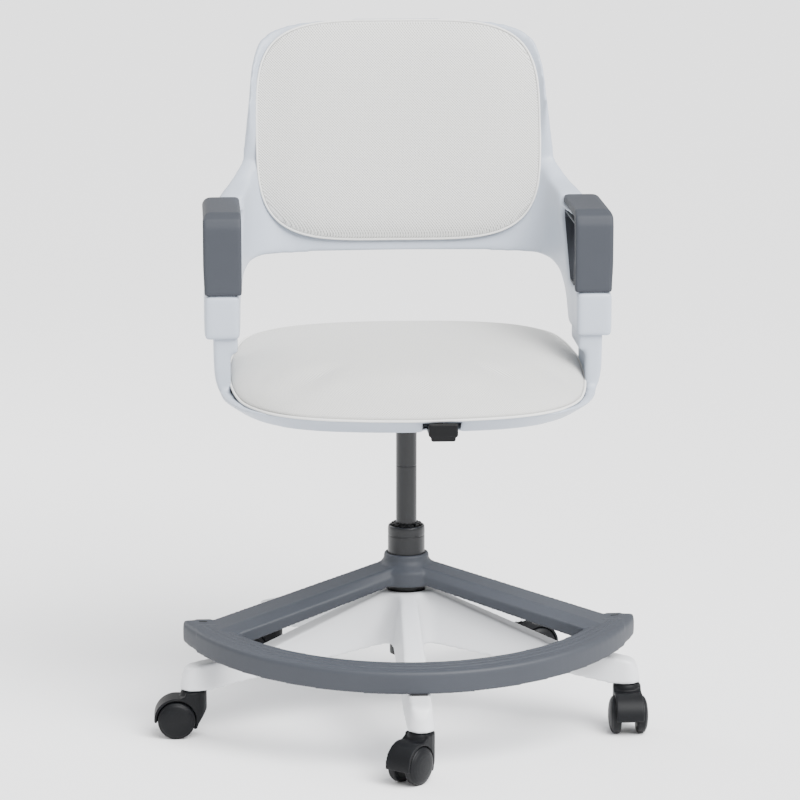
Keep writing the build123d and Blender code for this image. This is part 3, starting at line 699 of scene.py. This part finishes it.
# lip of the tray, from the piping out to the tray's wall
lip = {"fall": 1, "inside": 6, "search": 24, "least": 0.5, "most": 16, "bite": 0.6}
shellCopy = nodeCopy("seat_shell")
wall = BVHTree.FromBMesh(shellCopy)
shellCopy.free()
lipOuter = []
for p in seatSeam:
    out = Vector((p.x, p.y - seatPad["midY"] * mm, 0)).normalized()
    fall = Vector((0, 0, lip["fall"] * mm))
    hit = wall.ray_cast(p - fall - out * lip["inside"] * mm, out, lip["search"] * mm)
    reach = lip["least"] * mm
    if hit[0]:
        reach = max(reach, hit[3] + (lip["bite"] - lip["inside"]) * mm)
    lipOuter.append(p + out * min(lip["most"] * mm, reach) - fall)
flatBand("seat_tray_lip", lipOuter, seatSeam, "seat", finishes["shell_plastic"])
print("seat cushion made")
backCover = puffed("back_cushion_cover", padForm(backPoint), "seat", finishes["back_fabric"],
                   "back_cushion", backPad["puff"], backSeam)
upBack = Vector((0, math.sin(lean), math.cos(lean)))
layCloth(backCover, Vector((0, 0.16, 0.775)), Vector((1, 0, 0)), upBack)
pipedSeam("back_piping", backSeam, 1.6, "seat")
backInner = [backPoint(a, 0.94, False) + Vector((0, -1.5 * mm, 0)) for a in angles]
flatBand("back_seam_band", backSeam, backInner, "seat", pipingCloth)
print("back cushion made")


paddle = {"plate": 7.5, "reach": 38, "drop": 10, "lip": 6, "round": 2.4}


def paddleShape():
    low, high = (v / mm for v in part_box("lever_paddle"))
    foot = low.z + paddle["lip"]
    back = low.y + paddle["reach"]
    # front plate, palm behind it, lip below, neck up to the lever: low and high corners
    blocks = (
        ((low.x, low.y, foot), (high.x, low.y + paddle["plate"], high.z - 2.5)),
        ((low.x, low.y, foot), (high.x, back, high.z - paddle["drop"])),
        ((low.x + 3, low.y + 1, low.z), (high.x - 3, low.y + 10, foot + 8)),
        ((low.x + 3, back - 11, foot), (low.x + 21, back - 1, high.z - 7)),
    )
    bm = bmesh.new()
    for start, end in blocks:
        start, end = Vector(start) * mm, Vector(end) * mm
        block = bmesh.new()
        place = Matrix.Translation((start + end) / 2) @ Matrix.Diagonal((*(end - start), 1))
        bmesh.ops.create_cube(block, size=1, matrix=place)
        bevelSharp(block, paddle["round"], segments=4)
        spare = bpy.data.meshes.new("block")
        block.to_mesh(spare)
        block.free()
        bm.from_mesh(spare)
        bpy.data.meshes.remove(spare)
    return remeshed(bm, 0.8, 4)


meshPiece("paddle_moulded", paddleShape(), "height_lever", finishes["black_plastic"],
          ["lever_paddle"])
print("lever made")


stage = {
    "floor": 14, "tone": (0.94, 0.94, 0.945), "sky": 1.0,
    "sun": 6.2, "sunSpread": 50, "sunWay": (-0.7, 0.9, -1.5),
}
bm = bmesh.new()
bmesh.ops.create_grid(bm, x_segments=1, y_segments=1, size=stage["floor"])
floorMesh = bpy.data.meshes.new("floor")
bm.to_mesh(floorMesh)
bm.free()
floor = bpy.data.objects.new("floor", floorMesh)
bpy.context.scene.collection.objects.link(floor)
floorPaint, tree, shader, coords = nodeTree("floorPaint")
shader.inputs["Base Color"].default_value = (*stage["tone"], 1)
shader.inputs["Roughness"].default_value = 0.8
floorMesh.materials.append(floorPaint)

world = bpy.data.worlds.new("studio")
bpy.context.scene.world = world
world.use_nodes = True
backdrop = world.node_tree.nodes["Background"]
backdrop.inputs["Color"].default_value = (1, 1, 1, 1)
backdrop.inputs["Strength"].default_value = stage["sky"]


def softBox(name, place, aim, size, power):
    light = bpy.data.lights.new(name, "AREA")
    light.shape = "RECTANGLE"
    light.size, light.size_y = size
    light.energy = power
    lamp = bpy.data.objects.new(name, light)
    bpy.context.scene.collection.objects.link(lamp)
    lamp.location = place
    lamp.rotation_euler = (Vector(aim) - Vector(place)).to_track_quat("-Z", "Y").to_euler()


sun = bpy.data.lights.new("daylight", "SUN")
sun.energy = stage["sun"]
sun.angle = math.radians(stage["sunSpread"])
sunLamp = bpy.data.objects.new("daylight", sun)
bpy.context.scene.collection.objects.link(sunLamp)
sunLamp.rotation_euler = Vector(stage["sunWay"]).to_track_quat("-Z", "Y").to_euler()
softBox("key", (1.5, -1.9, 2.3), (0, 0, 0.5), (1.1, 1.1), 60)
softBox("rim", (-1.7, 1.5, 1.6), (0, 0, 0.6), (0.8, 1.6), 25)

view = {"place": (-0.2974, -4.7277, 1.396), "pitch": 11.483, "heading": 3.4965, "lens": 162}
camera = bpy.data.objects.new("camera", bpy.data.cameras.new("camera"))
bpy.context.scene.collection.objects.link(camera)
camera.location = view["place"]
camera.rotation_euler = (math.radians(90 - view["pitch"]), 0, -math.radians(view["heading"]))
camera.data.lens = view["lens"]
camera.data.sensor_width = 36
camera.data.clip_end = 60
bpy.context.scene.camera = camera
print("stage set")
